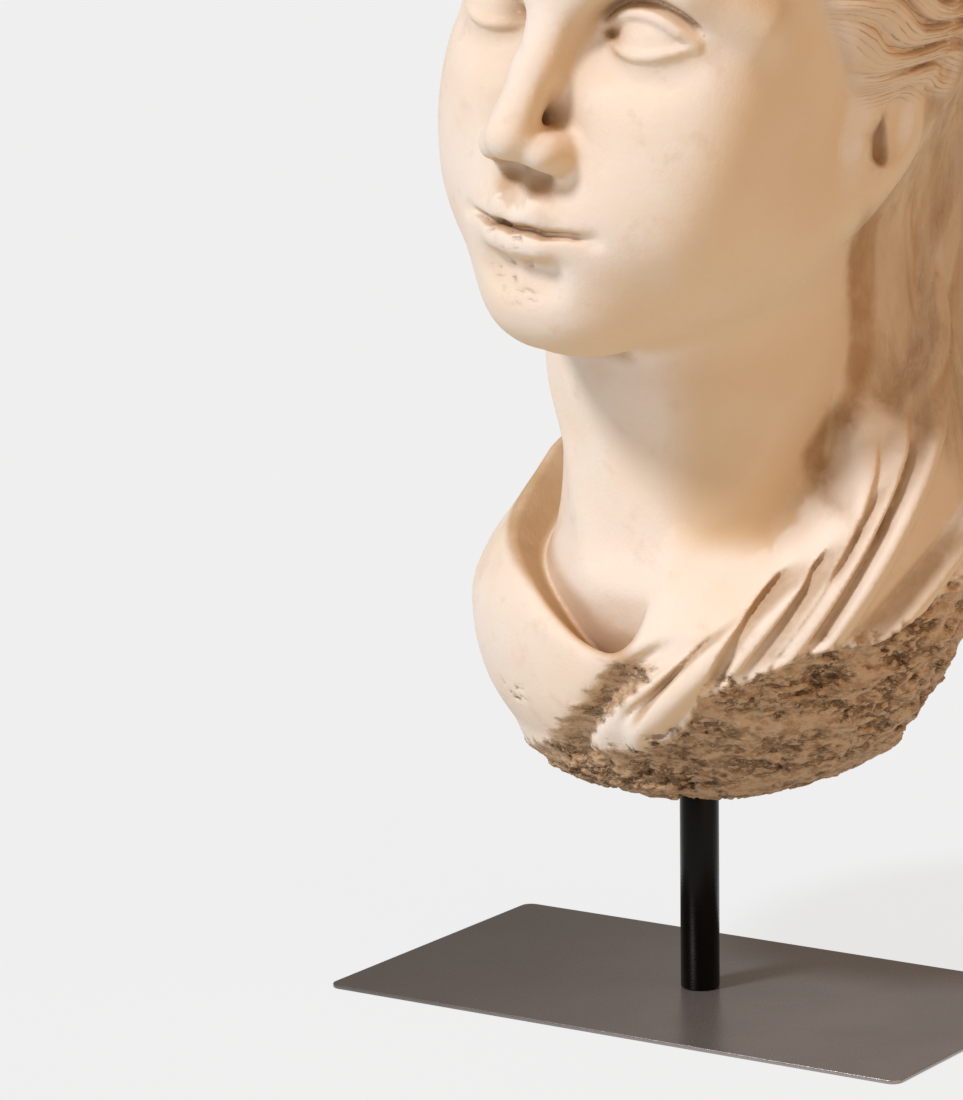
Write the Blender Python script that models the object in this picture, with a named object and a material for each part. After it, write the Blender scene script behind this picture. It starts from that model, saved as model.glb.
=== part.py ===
"""Classical bust cast in resin, held on a round steel rod over a thin steel plate."""
from math import cos, pi, radians, sin

import bmesh
import bpy
import numpy as np

# Sizes in metres. The underside of the plate lies at z = 0 and the chest faces -Y.
BUST_HEIGHT = 0.423
BUST_LIFT = 0.0825
PLATE_LENGTH = 0.250
PLATE_DEPTH = 0.141
PLATE_THICK = 0.0015
PLATE_CORNER = 0.0045
ROD_RADIUS = 0.0075
ROD_IN_BUST = 0.030
CLEARANCE = 0.0003

# The bust is carved in its own units, 423 to its height, counted up from its underside.
UNITS_HIGH = 423.0
UNIT = BUST_HEIGHT / UNITS_HIGH
HEAD_HEIGHT = 239.0
HEAD_AT = (22.0, -27.0, 296.0)
HEAD_TURN = radians(-5.0)
HEAD_LEAN = radians(8.0)
HEAD_NOD = radians(-1.0)
CHEST_AXIS = (5.0, 12.0)
FOLD_REACH = 90.0
GRID = 2.4
BUST_TRIANGLES = 8600

# Eyes, in head heights from the middle of the eye line
EYE_AT = np.array((0.138, -0.298, -0.004))
EYE_RADIUS = 0.067


def join(a, b, k):
    """Union of two forms with a rounded seam of width k."""
    h = np.maximum(k - np.abs(a - b), 0.0) / k
    return np.minimum(a, b) - h * h * k * 0.25


def cut(a, b, k):
    """What two forms share, with a rounded edge of width k."""
    return -join(-a, -b, k)


def ease(t):
    t = np.clip(t, 0.0, 1.0)
    return t * t * (3.0 - 2.0 * t)


def curve(at, *pairs):
    """Smooth curve through (place, value) pairs."""
    place = np.array([pair[0] for pair in pairs], dtype=float)
    value = np.array([pair[1] for pair in pairs], dtype=float)
    slope = np.gradient(value, place)
    slope[0] = 0.0
    slope[-1] = 0.0
    at = np.clip(at, place[0], place[-1])
    i = np.clip(np.searchsorted(place, at) - 1, 0, len(place) - 2)
    span = place[i + 1] - place[i]
    t = (at - place[i]) / span
    low = (1 + 2 * t) * (1 - t) ** 2 * value[i] + t * (1 - t) ** 2 * span * slope[i]
    return low + t * t * (3 - 2 * t) * value[i + 1] + t * t * (t - 1) * span * slope[i + 1]


def ball(p, centre, radii):
    """Distance to an ellipsoid."""
    q = (p - np.array(centre)) / np.array(radii)
    near = np.sqrt((q * q).sum(-1))
    slope = np.sqrt(((q / np.array(radii)) ** 2).sum(-1)) + 1e-9
    return near * (near - 1.0) / slope


def taper(p, a, b):
    """Distance to a round bar from a to b, each given as x, y, z, radius."""
    start = np.array(a[:3], dtype=float)
    along = np.array(b[:3], dtype=float) - start
    off = p - start
    h = np.clip((off @ along) / (along @ along), 0.0, 1.0)
    return np.sqrt(((off - h[:, None] * along) ** 2).sum(-1)) - (a[3] + (b[3] - a[3]) * h)


def string(p, points, k=0.0):
    """Round bars joined end to end."""
    d = taper(p, points[0], points[1])
    for a, b in zip(points[1:-1], points[2:]):
        e = taper(p, a, b)
        d = join(d, e, k) if k else np.minimum(d, e)
    return d


def lid_edge(dx, upper):
    """Height of a lid's edge over the middle of the eyeball."""
    over = np.abs(dx / (1.08 * EYE_RADIUS))
    if upper:
        return 0.58 * EYE_RADIUS * (1 - over ** 2.1) + 0.05 * dx
    return -0.34 * EYE_RADIUS * (1 - over ** 2.0) + 0.05 * dx


def lid_rim(upper):
    """Rolled edge of a lid, laid on the eyeball."""
    points = []
    radius = EYE_RADIUS * (1.07 if upper else 1.03)
    thick = EYE_RADIUS * (0.145 if upper else 0.105)
    for i in range(9):
        dx = EYE_RADIUS * (-1.05 + 2.10 * i / 8.0)
        dz = lid_edge(dx, upper)
        dy = -np.sqrt(max(radius ** 2 - dx ** 2 - dz ** 2, (0.3 * EYE_RADIUS) ** 2))
        points.append((*(EYE_AT + (dx, dy, dz)), thick * (0.75 + 0.25 * sin(pi * i / 8.0))))
    return points


def line(at, middle, width):
    """1 along a line and 0 away from it, for a groove or a ridge."""
    return np.exp(-(((at - middle) / width) ** 2))


BROW = ((0.0, -0.372, 0.070, 0.026), (0.050, -0.378, 0.072, 0.024), (0.115, -0.368, 0.092, 0.022),
        (0.190, -0.325, 0.085, 0.024), (0.258, -0.235, 0.035, 0.026))
NOSE = ((0.0, -0.362, 0.110, 0.020), (0.0, -0.372, 0.040, 0.030), (0.0, -0.420, -0.070, 0.030),
        (0.0, -0.463, -0.165, 0.036))
UPPER_LIP = ((0.0, -0.407, -0.283, 0.023), (0.027, -0.406, -0.277, 0.025), (0.066, -0.384, -0.287, 0.020),
             (0.104, -0.350, -0.300, 0.012))
LOWER_LIP = ((0.0, -0.401, -0.333, 0.030), (0.034, -0.395, -0.331, 0.029), (0.068, -0.371, -0.320, 0.021),
             (0.100, -0.350, -0.307, 0.012))


def features(p, m, d):
    """Sockets, brow, nose, eyes and mouth; m is p folded over the middle of the face."""
    x, y, z = m.T
    d = cut(d, -ball(m, (0.140, -0.412, -0.002), (0.100, 0.078, 0.062)), 0.07)
    d = join(d, string(m, BROW, 0.03), 0.07)
    d = join(d, string(p, NOSE, 0.02), 0.055)
    d = join(d, ball(m, (0.044, -0.412, -0.186), (0.030, 0.048, 0.030)), 0.032)
    d = cut(d, -ball(m, (0.030, -0.424, -0.222), (0.017, 0.026, 0.017)), 0.016)
    eye = m - EYE_AT
    reach = np.sqrt((eye * eye).sum(-1))
    opening = np.maximum(eye[:, 2] - lid_edge(eye[:, 0], True), lid_edge(eye[:, 0], False) - eye[:, 2])
    opening = np.maximum(opening, eye[:, 1] + 0.30 * EYE_RADIUS)
    d = cut(join(d, reach - 1.06 * EYE_RADIUS, 0.030), -opening, 0.006)
    d = join(d, reach - EYE_RADIUS, 0.002)
    d = join(d, string(m, lid_rim(True)), 0.010)
    d = join(d, string(m, lid_rim(False)), 0.010)
    across = np.abs(eye[:, 0]) / EYE_RADIUS
    crease = 0.90 * EYE_RADIUS * (1 - (across / 1.45) ** 2.2) + 0.05 * eye[:, 0]
    d = d + 0.010 * line(eye[:, 2], crease, 0.009) * ease((1.35 - across) / 0.5)
    d = join(d, string(m, UPPER_LIP, 0.012), 0.018)
    d = join(d, string(m, LOWER_LIP, 0.012), 0.018)
    parting = curve(x, (0.0, -0.3065), (0.022, -0.3030), (0.048, -0.3055), (0.078, -0.3020), (0.112, -0.3035))
    mouth = ease((-y - 0.20) / 0.05)
    d = d + 0.013 * line(z, parting, 0.007) * ease((0.118 - x) / 0.03) * mouth
    d = d + 0.007 * line(x, 0.116, 0.013) * line(z, -0.304, 0.014) * mouth
    d = cut(d, -taper(p, (0.0, -0.452, -0.220, 0.010), (0.0, -0.436, -0.262, 0.013)), 0.020)
    return cut(d, -taper(m, (0.0, -0.425, -0.382, 0.018), (0.045, -0.408, -0.376, 0.016)), 0.05)


def face(p, m):
    """Skull, cheeks, jaw and chin in head heights, with the features carved in front."""
    d = ball(p, (0.0, 0.03, 0.125), (0.312, 0.385, 0.36))
    d = join(d, ball(p, (0.0, -0.095, -0.13), (0.270, 0.285, 0.345)), 0.10)
    d = join(d, taper(m, (0.195, 0.05, -0.19, 0.092), (0.168, -0.05, -0.285, 0.086)), 0.12)
    d = join(d, taper(m, (0.168, -0.05, -0.285, 0.086), (0.062, -0.25, -0.405, 0.078)), 0.12)
    d = join(d, ball(p, (0.0, -0.305, -0.412), (0.100, 0.085, 0.082)), 0.08)
    d = join(d, ball(m, (0.145, -0.225, -0.130), (0.128, 0.122, 0.150)), 0.12)
    d = join(d, ball(m, (0.115, -0.205, -0.265), (0.120, 0.125, 0.120)), 0.12)
    d = join(d, ball(p, (0.0, -0.195, 0.19), (0.24, 0.175, 0.18)), 0.12)
    d = join(d, ball(p, (0.0, -0.310, -0.290), (0.125, 0.105, 0.095)), 0.08)
    front = (p[:, 1] < -0.14) & (p[:, 2] < 0.22) & (p[:, 2] > -0.47) & (np.abs(d) < 0.12)
    if front.any():
        d[front] = features(p[front], m[front], d[front])
    return d


def ear(m):
    d = ball(m, (0.288, 0.070, -0.110), (0.054, 0.090, 0.125))
    d = join(d, ball(m, (0.278, 0.018, -0.232), (0.040, 0.048, 0.052)), 0.06)
    d = cut(d, -ball(m, (0.352, 0.052, -0.112), (0.040, 0.040, 0.062)), 0.018)
    d = cut(d, -ball(m, (0.312, 0.030, -0.142), (0.050, 0.024, 0.034)), 0.010)
    return join(d, ball(m, (0.300, -0.006, -0.150), (0.022, 0.016, 0.024)), 0.012)


def hair(p, m, d):
    """Parted hair in waves that are drawn back over the tops of the ears."""
    x, y, z = p.T
    cap = ball(p, (0.0, 0.045, 0.130), (0.352, 0.408, 0.392))
    cap = join(cap, ball(m, (0.232, 0.06, 0.02), (0.118, 0.21, 0.155)), 0.08)
    hairline = -0.80 * y - 0.60 * z - 0.075 + 0.05 * np.maximum(m[:, 0] - 0.12, 0.0)
    back = np.arctan2(z + 0.02, 0.50 - y)
    along = np.hypot(z + 0.02, 0.50 - y)
    wave = back + 0.030 * np.sin(along * 27.0 + 2.5 * np.sin(back * 6.0)) + 0.10 * m[:, 0]
    lock = np.abs(np.sin(wave * 33.0 + 0.8 * np.sin(along * 9.0))) ** 0.8
    strand = np.abs(np.sin(wave * 66.0 + 1.3 + 1.1 * np.sin(along * 17.0)))
    grown = 0.3 + 0.7 * ease(-hairline / 0.10)
    cap = cap + 0.016 - (0.020 * lock + 0.007 * strand) * grown
    cap = cap + 0.022 * np.exp(-(x / 0.014) ** 2) * ease((0.25 - y) / 0.2)
    cap = cut(cap, hairline, 0.04)
    cap = cut(cap, -(z + 0.082 - 0.10 * y), 0.03)
    return join(d, cap, 0.012)


def veil(p):
    """Cloth over the back of the head, with a rolled front edge."""
    x, y, z = p.T
    shell = ball(p, (0.0, 0.080, 0.100), (0.374, 0.418, 0.430))
    edge = 0.150 - y + 0.16 * z + 0.012 * np.sin(z * 16.0)
    roll = np.hypot(np.maximum(shell, -0.05), edge + 0.022) - 0.020
    shell = join(cut(shell, edge, 0.03), roll, 0.02)
    return cut(shell, -z - 0.30, 0.10)


def head_frame():
    """Axes of the head: turned, leant and nodded."""
    turn = np.array([[cos(HEAD_TURN), -sin(HEAD_TURN), 0], [sin(HEAD_TURN), cos(HEAD_TURN), 0], [0, 0, 1]])
    lean = np.array([[cos(HEAD_LEAN), 0, sin(HEAD_LEAN)], [0, 1, 0], [-sin(HEAD_LEAN), 0, cos(HEAD_LEAN)]])
    nod = np.array([[1, 0, 0], [0, cos(HEAD_NOD), -sin(HEAD_NOD)], [0, sin(HEAD_NOD), cos(HEAD_NOD)]])
    return lean @ turn @ nod


def neck(p):
    x, y, z = p.T
    x = x - curve(z, (77, 3), (137, 8), (207, 10))
    y = y - curve(z, (77, 12), (137, 3), (207, 0))
    radius = curve(z, (35, 40), (60, 64), (77, 68.5), (102, 61.5), (134, 59), (160, 63), (207, 63))
    side = np.abs(np.degrees(np.arctan2(x, -y)))
    tendon = line(side, curve(z, (75, 14), (120, 34), (200, 72)), 9.0) * ease((z - 72.0) / 20.0)
    d = np.hypot(x, y) - radius - 1.6 * tendon + 1.6 * line(side, 0.0, 10.0) * line(z, 74.0, 10.0)
    return cut(d, np.maximum(38.0 - z, z - 225.0), 12.0)


# Angle round the chest and height at the top, middle and foot of each line, half width, rise or depth
FOLD_LINES = (((26, 69), (17, 59), (2, 42), 2.8, 2.8), ((38, 84), (27, 63), (8, 35), 7.6, 5.6),
              ((60, 118), (46, 89), (29, 53), 3.8, 4.4), ((68, 137), (54, 97), (36, 57), 4.6, 5.6),
              ((77, 147), (62, 107), (47, 70), 4.6, 6.2), ((86, 152), (71, 114), (53, 70), 6.6, 7.4),
              ((102, 136), (83, 98), (71, 77), 6.2, 6.2), ((117, 150), (101, 110), (88, 80), 7.0, 4.5))
GROOVE_LINES = (((34, 80), (22, 64), (8, 41), 2.2, 2.2), ((51, 99), (41, 86), (28, 53), 3.4, 3.0),
                ((57, 107), (50, 91), (35, 56), 3.6, 2.8), ((70, 130), (62, 111), (56, 97), 2.2, 2.0),
                ((82, 148), (67, 112), (51, 72), 2.6, 2.8), ((90, 112), (76, 93), (64, 72), 5.5, 2.0))


def drawn_line(angle, z, top, middle, foot, width):
    """1 along a bowed line over the chest and 0 away from it; it narrows and fades towards its top."""
    up = (z - foot[1]) / (top[1] - foot[1])
    at = (middle[1] - foot[1]) / (top[1] - foot[1])
    bow = (middle[0] - foot[0] - (top[0] - foot[0]) * at) / (at * (1.0 - at))
    ridge = foot[0] + (top[0] - foot[0]) * up + bow * up * (1.0 - up)
    slant = np.radians(top[0] - foot[0] + bow * (1.0 - 2.0 * up)) * FOLD_REACH / (top[1] - foot[1])
    off = np.radians(angle - ridge) * FOLD_REACH / np.hypot(1.0, slant)
    width = width * np.clip(1.15 - 0.35 * up, 0.6, 1.3)
    return np.clip(1.0 - (off / width) ** 2, 0.0, 1.0) * ease((top[1] + 8.0 - z) / 20.0)


def gathered_folds(angle, z):
    """Ridges of cloth that run down from the shoulder and draw together over the chest."""
    total = np.zeros_like(z)
    for top, middle, foot, width, rise in FOLD_LINES:
        total = total + (rise * drawn_line(angle, z, top, middle, foot, width)) ** 4
    return total ** 0.25


def fold_grooves(angle, z):
    """Narrow hollows between the gathered folds."""
    total = np.zeros_like(z)
    for top, middle, foot, width, depth in GROOVE_LINES:
        hollow = drawn_line(angle, z, top, middle, foot, width) ** 1.6
        total = total + depth * hollow * ease((z - foot[1] + 8.0) / 10.0)
    return total


def hanging_folds(angle, z):
    """Soft upright folds of the cloth behind."""
    turn = np.radians(angle) * 7.0 + 0.006 * (z - 67.0) + 0.5 * np.sin(z * 0.033)
    return 5.5 * (np.abs(np.sin(turn)) ** 0.7 - 0.45)


def break_height(angle):
    """Height of the broken edge of the cloth, by the angle round the chest."""
    return curve(angle, (-180, 52), (-120, 37), (-60, 15), (-21, 24), (-8, 24), (12, 30), (19, 37), (23, 46),
                 (37, 58), (50, 68), (66, 71), (75, 79), (93, 87), (130, 77), (180, 52))


def rim_height(angle):
    """Height of the top edge of the cloth round the neck."""
    return curve(angle, (-180, 297), (-132, 297), (-112, 150), (-98, 139), (-80, 120), (-57, 100), (-42, 92),
                 (-30, 84), (-20, 75), (-10, 67), (0, 63), (10, 64), (22, 70), (40, 85), (55, 107), (62, 122),
                 (66, 145), (70, 230), (75, 297), (180, 297))


def cloth(p):
    """Bowl of the chest, collar on one side, gathered folds on the other and the fall behind the neck."""
    x, y, z = p.T
    middle_x = curve(z, (-3, 0), (29, 1), (57, 3), (77, 5), (157, 8), (277, 16))
    middle_y = curve(z, (-3, 10), (77, 14), (157, 26), (277, 30))
    wide = curve(z, (-7, 20), (1, 42), (7, 57), (15, 69), (24, 78), (35, 86.5), (52, 94.5), (77, 100),
                 (122, 100), (152, 93), (197, 83), (277, 82))
    deep = 0.86 * wide - curve(z, (67, 0), (122, 8), (167, 10), (277, 9))
    angle = np.degrees(np.arctan2(x - CHEST_AXIS[0], CHEST_AXIS[1] - y))
    qx, qy = (x - middle_x) / wide, (y - middle_y) / deep
    near = np.hypot(qx, qy)
    d = near * (near - 1.0) / (np.hypot(qx / wide, qy / deep) + 1e-9)
    far_side = ease((-angle - 5.0) / 30.0) * ease((150.0 + angle) / 20.0)
    fuller = 1.8 * ease((92.0 - z) / 26.0) + 11.0 * ease((26.0 - z) / 26.0)
    d = d - fuller * ease((angle + 125.0) / 40.0) * ease((20.0 - angle) / 40.0)
    d = d - 8.0 * ease((14.0 - z) / 14.0) * ease((angle + 20.0) / 30.0) * ease((75.0 - angle) / 40.0)
    d = d - 6.0 * line(angle, 114.0, 13.0) * line(z, 12.0, 9.0)
    d = d + far_side * curve(z, (72, 0), (90, 4.5), (105, 13), (120, 20), (132, 25))
    near_side = ease((angle + 2.0) / 8.0) * ease((140.0 - angle) / 30.0)
    gone = ease((break_height(angle) - z) / 4.5)
    d = d - gathered_folds(angle, z) * near_side * (1.0 - 0.9 * gone)
    off = np.radians(angle + 19.0 - 29.0 * (z - 25.0) / 38.0) * 64.0
    d = d + 5.5 * line(off, 0.0, 5.5) * ease((75.0 - z) / 12.0) * ease((z - 14.0) / 10.0)
    d = d - hanging_folds(angle, z) * ease((np.abs(angle) - 78.0) / 22.0) * ease((z - 47.0) / 40.0)
    rough = np.sin(x * 0.41 + 2.0 * np.sin(z * 0.3)) * np.sin(y * 0.38 + 1.7 * np.sin(x * 0.25))
    rough = rough * np.sin(z * 0.45 + 1.0) + 0.6 * np.sin(x * 0.16 + z * 0.21) * np.sin(y * 0.19 - z * 0.12)
    d = d + gone * (3.0 + 1.2 * rough)
    strip_end = curve(z, (150, 78), (157, 81), (172, 88), (192, 93), (208, 95), (235, 100))
    strip = ease((strip_end - angle) / 2.0) * ease((z - 146.0) / 14.0) * ease((angle - 50.0) / 8.0)
    d = d + 6.5 * strip - 2.0 * line(angle, strip_end + 2.5, 2.2) * ease((z - 150.0) / 12.0) * (z < 290.0)
    rim = rim_height(angle)
    steep = (rim_height(angle + 1.0) - rim_height(angle - 1.0)) / 3.0
    reach = np.hypot(x - CHEST_AXIS[0], y - CHEST_AXIS[1])
    dip = 0.9 * np.clip(82.0 - reach, 0.0, 18.0) * ease((9.0 - angle) / 26.0) * ease((angle + 150.0) / 30.0)
    flare = np.maximum(106.0 - rim, 14.0) * np.clip((93.0 - reach) / 28.0, 0.0, 1.15) ** 2
    flare = flare * ease((angle + 3.0) / 18.0) * ease((68.0 - angle) / 8.0)
    d = cut(d, (z - rim + dip - flare) / np.hypot(1.3, steep), 5.0)
    d = d + fold_grooves(angle, z) * near_side * (1.0 - 0.9 * gone)
    return cut(d, -z, 7.0)


def bust(points):
    """Distance from points, in metres, to the surface of the bust."""
    p = (points - (0.0, 0.0, BUST_LIFT)) / UNIT
    z = p[:, 2]
    solid = np.full(len(p), 300.0)
    cover = np.full(len(p), 300.0)
    up = z > 117.0
    if up.any():
        q = (p[up] - np.array(HEAD_AT)) @ head_frame() / HEAD_HEIGHT
        rough = ball(q, (0.0, 0.04, 0.02), (0.40, 0.50, 0.56))
        head = rough + 0.05
        over = rough + 0.05
        near = rough < 0.25
        if near.any():
            q = q[near]
            m = np.column_stack((np.abs(q[:, 0]), q[:, 1:]))
            head[near] = hair(q, m, join(face(q, m), ear(m), 0.03))
            over[near] = veil(q)
        solid[up] = head * HEAD_HEIGHT
        angle = np.degrees(np.arctan2(p[up, 0] - CHEST_AXIS[0], CHEST_AXIS[1] - p[up, 1]))
        fade = ease((np.abs(angle) - 100.0) / 30.0) * ease((422.0 - z[up]) / 100.0)
        cover[up] = over * HEAD_HEIGHT - 0.7 * hanging_folds(angle, z[up]) * fade
    low = z < 247.0
    if low.any():
        solid[low] = join(solid[low], neck(p[low]), 18.0)
    low = z < 347.0
    if low.any():
        cover[low] = join(cover[low], cut(cloth(p[low]), z[low] - 302.0, 50.0), 22.0)
    return join(solid, cover, 4.0) * UNIT


def sample(form, low, high, step, block=6):
    """Values of the form on a grid; away from its surface only their sign is filled in."""
    count = np.ceil((high - low) / (step * block)).astype(int)
    grid = np.ones(count * block + 1)
    cell = np.indices(count).reshape(3, -1).T
    value = form(low + (cell + 0.5) * block * step)
    near = np.abs(value) < 1.5 * block * step
    for a, b, c in cell[~near & (value < 0.0)] * block:
        grid[a:a + block + 1, b:b + block + 1, c:c + block + 1] = -1.0
    inner = np.indices((block + 1,) * 3).reshape(3, -1).T
    cell = cell[near] * block
    for start in range(0, len(cell), 500):
        place = (cell[start:start + 500, None] + inner).reshape(-1, 3)
        grid[tuple(place.T)] = form(low + place * step)
    return grid


def crossings(grid, cell):
    """Mean place where the surface crosses the twelve edges of each cell."""
    total = np.zeros((len(cell), 3))
    hits = np.zeros(len(cell))
    for corner in np.ndindex(2, 2, 2):
        for axis in range(3):
            if corner[axis]:
                continue
            step = np.eye(3, dtype=int)[axis]
            a = grid[tuple((cell + corner).T)]
            b = grid[tuple((cell + corner + step).T)]
            crossed = (a < 0.0) != (b < 0.0)
            share = a[crossed] / (a[crossed] - b[crossed])
            total[crossed] += np.array(corner) + share[:, None] * step
            hits += crossed
    return cell + total / hits[:, None]


def crossed_cells(inside):
    size = np.array(inside.shape) - 1
    some = np.zeros(size, dtype=bool)
    every = np.ones(size, dtype=bool)
    for i, j, k in np.ndindex(2, 2, 2):
        part = inside[i:size[0] + i, j:size[1] + j, k:size[2] + k]
        some |= part
        every &= part
    return np.argwhere(some & ~every)


def in_doubt():
    """For each of the 256 ways a cell can be crossed, whether its skin would touch itself."""
    corners = list(np.ndindex(2, 2, 2))
    answer = np.zeros(256, dtype=bool)
    for code in range(256):
        full = {corner for bit, corner in enumerate(corners) if code >> bit & 1}
        for group in (full, set(corners) - full):
            todo = list(group)[:1]
            reached = set(todo)
            while todo:
                here = todo.pop()
                beside = [c for c in group - reached if sum(a != b for a, b in zip(c, here)) == 1]
                reached.update(beside)
                todo.extend(beside)
            answer[code] |= reached != group
        for axis in range(3):
            for side in (0, 1):
                rim = [c for c in corners if c[axis] == side]
                flags = [c in full for c in rim]
                answer[code] |= flags[0] == flags[3] and flags[1] == flags[2] and flags[0] != flags[1]
    return answer


def settle_doubts(grid):
    """Fills the corner nearest the surface in each cell where the skin would touch itself."""
    doubt = in_doubt()
    corners = np.array(list(np.ndindex(2, 2, 2)))
    while True:
        cell = crossed_cells(grid < 0.0)
        value = np.stack([grid[tuple((cell + corner).T)] for corner in corners], axis=1)
        code = ((value < 0.0) << np.arange(8)).sum(axis=1)
        bad = doubt[code]
        if not bad.any():
            return grid
        nearest = np.where(value[bad] < 0.0, np.inf, value[bad]).argmin(axis=1)
        grid[tuple((cell[bad] + corners[nearest]).T)] = -1e-7


def skin(grid):
    """Closed quad skin: one point in each crossed cell, one face round each crossed edge."""
    inside = grid < 0.0
    size = np.array(grid.shape) - 1
    cell = crossed_cells(inside)
    number = np.zeros(size, dtype=int)
    number[tuple(cell.T)] = np.arange(len(cell))
    faces = []
    for axis in range(3):
        step = np.eye(3, dtype=int)[axis]
        side = np.roll(step, 1)
        other = np.roll(step, 2)
        first = inside[tuple(slice(0, n - s + 1) for n, s in zip(size, step))]
        second = inside[tuple(slice(s, n + 1) for n, s in zip(size, step))]
        edge = np.argwhere(first != second)
        ring = (edge, edge - side, edge - side - other, edge - other)
        quad = np.stack([number[tuple(place.T)] for place in ring], axis=1)
        turned = ~first[tuple(edge.T)]
        quad[turned] = quad[turned][:, ::-1]
        faces.append(quad)
    return crossings(grid, cell), np.concatenate(faces)


def settle(form, points, step):
    """Moves each point along the slope onto the form's surface."""
    value = form(points)
    slope = np.stack([form(points + np.eye(3)[axis] * step) - value for axis in range(3)], axis=1) / step
    push = slope * (-value / np.maximum((slope * slope).sum(axis=1), 0.04))[:, None]
    length = np.linalg.norm(push, axis=1)
    return points + push * np.minimum(1.0, 4.0 * step / np.maximum(length, 1e-9))[:, None]


def material(name, colour, roughness, metallic):
    made = bpy.data.materials.new(name)
    made.use_nodes = True
    surface = made.node_tree.nodes["Principled BSDF"]
    surface.inputs["Base Color"].default_value = (*colour, 1.0)
    surface.inputs["Roughness"].default_value = roughness
    surface.inputs["Metallic"].default_value = metallic
    return made


def add(name, mesh, finish):
    thing = bpy.data.objects.new(name, mesh)
    bpy.context.scene.collection.objects.link(thing)
    if finish:
        mesh.materials.append(finish)
    return thing


def turned_bar(name, radius, low, high, finish, sides=48):
    """Upright round bar with smooth sides and flat ends."""
    form = bmesh.new()
    bmesh.ops.create_cone(form, cap_ends=True, segments=sides, radius1=radius, radius2=radius,
                          depth=high - low)
    bmesh.ops.translate(form, vec=(0.0, 0.0, (low + high) / 2), verts=form.verts)
    for face_ in form.faces:
        face_.smooth = len(face_.verts) == 4
    mesh = bpy.data.meshes.new(name)
    form.to_mesh(mesh)
    form.free()
    return add(name, mesh, finish)


def make_bust(finish):
    step = GRID * UNIT
    low = np.array((-140.0, -190.0, -10.0)) * UNIT + (0.0, 0.0, BUST_LIFT)
    high = np.array((160.0, 160.0, 470.0)) * UNIT + (0.0, 0.0, BUST_LIFT)
    points, faces = skin(settle_doubts(sample(bust, low, high, step)))
    points = settle(bust, low + points * step, step / 4)
    mesh = bpy.data.meshes.new("bust")
    mesh.from_pydata(points.tolist(), [], faces.tolist())
    mesh.polygons.foreach_set("use_smooth", np.ones(len(mesh.polygons), dtype=bool))
    thing = add("bust", mesh, finish)
    fewer = thing.modifiers.new("fewer", "DECIMATE")
    fewer.ratio = BUST_TRIANGLES / (2.0 * len(faces))
    socket = turned_bar("socket", ROD_RADIUS + CLEARANCE, BUST_LIFT - 0.02,
                        BUST_LIFT + ROD_IN_BUST + CLEARANCE, None)
    socket.hide_render = True
    socket.display_type = "WIRE"
    bored = thing.modifiers.new("socket", "BOOLEAN")
    bored.operation = "DIFFERENCE"
    bored.solver = "EXACT"
    bored.object = socket
    return thing


def make_plate(finish):
    """Thin plate with four rounded corners."""
    steps = 8
    outline = []
    for corner in range(4):
        side_x = 1.0 if corner in (0, 3) else -1.0
        side_y = 1.0 if corner in (0, 1) else -1.0
        for i in range(steps + 1):
            turn = pi / 2 * (corner + i / steps)
            outline.append((side_x * (PLATE_LENGTH / 2 - PLATE_CORNER) + PLATE_CORNER * cos(turn),
                            side_y * (PLATE_DEPTH / 2 - PLATE_CORNER) + PLATE_CORNER * sin(turn)))
    form = bmesh.new()
    lower = [form.verts.new((x, y, 0.0)) for x, y in outline]
    upper = [form.verts.new((x, y, PLATE_THICK)) for x, y in outline]
    form.faces.new(upper)
    form.faces.new(lower[::-1])
    for i in range(len(outline)):
        j = (i + 1) % len(outline)
        form.faces.new((lower[i], lower[j], upper[j], upper[i]))
    mesh = bpy.data.meshes.new("base_plate")
    form.to_mesh(mesh)
    form.free()
    return add("base_plate", mesh, finish)


def main():
    for thing in list(bpy.data.objects):
        bpy.data.objects.remove(thing)
    resin = material("cast_resin", (0.79, 0.66, 0.50), 0.75, 0.0)
    steel = material("dark_steel", (0.035, 0.030, 0.027), 0.42, 0.6)
    plate = material("plate_steel", (0.10, 0.088, 0.080), 0.40, 0.6)
    make_bust(resin)
    turned_bar("rod", ROD_RADIUS, PLATE_THICK + CLEARANCE, BUST_LIFT + ROD_IN_BUST, steel)
    make_plate(plate)


main()
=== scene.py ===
"""Dresses the bust, its rod and its plate: fine carving, wear, finishes, light and camera."""
from math import cos, pi, radians, sin

import bmesh
import bpy
import numpy as np
from mathutils import Matrix, Vector


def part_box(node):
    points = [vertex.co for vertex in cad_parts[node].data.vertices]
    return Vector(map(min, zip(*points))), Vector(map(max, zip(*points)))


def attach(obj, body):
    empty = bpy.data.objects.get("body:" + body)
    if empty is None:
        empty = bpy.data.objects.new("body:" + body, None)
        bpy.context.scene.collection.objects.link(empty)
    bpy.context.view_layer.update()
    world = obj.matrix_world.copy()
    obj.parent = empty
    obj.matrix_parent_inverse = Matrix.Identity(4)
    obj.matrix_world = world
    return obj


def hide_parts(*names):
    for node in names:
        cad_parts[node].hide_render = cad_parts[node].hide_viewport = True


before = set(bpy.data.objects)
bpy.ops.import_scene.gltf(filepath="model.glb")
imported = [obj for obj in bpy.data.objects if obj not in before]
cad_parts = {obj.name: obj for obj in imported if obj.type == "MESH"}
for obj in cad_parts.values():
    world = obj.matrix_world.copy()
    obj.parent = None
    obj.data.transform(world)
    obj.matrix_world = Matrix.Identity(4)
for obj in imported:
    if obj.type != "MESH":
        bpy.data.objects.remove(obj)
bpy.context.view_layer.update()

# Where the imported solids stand, in metres
PLATE_LOW, PLATE_HIGH = (np.array(corner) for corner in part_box("base_plate"))
ROD_LOW, ROD_HIGH = (np.array(corner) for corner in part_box("rod"))
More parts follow.
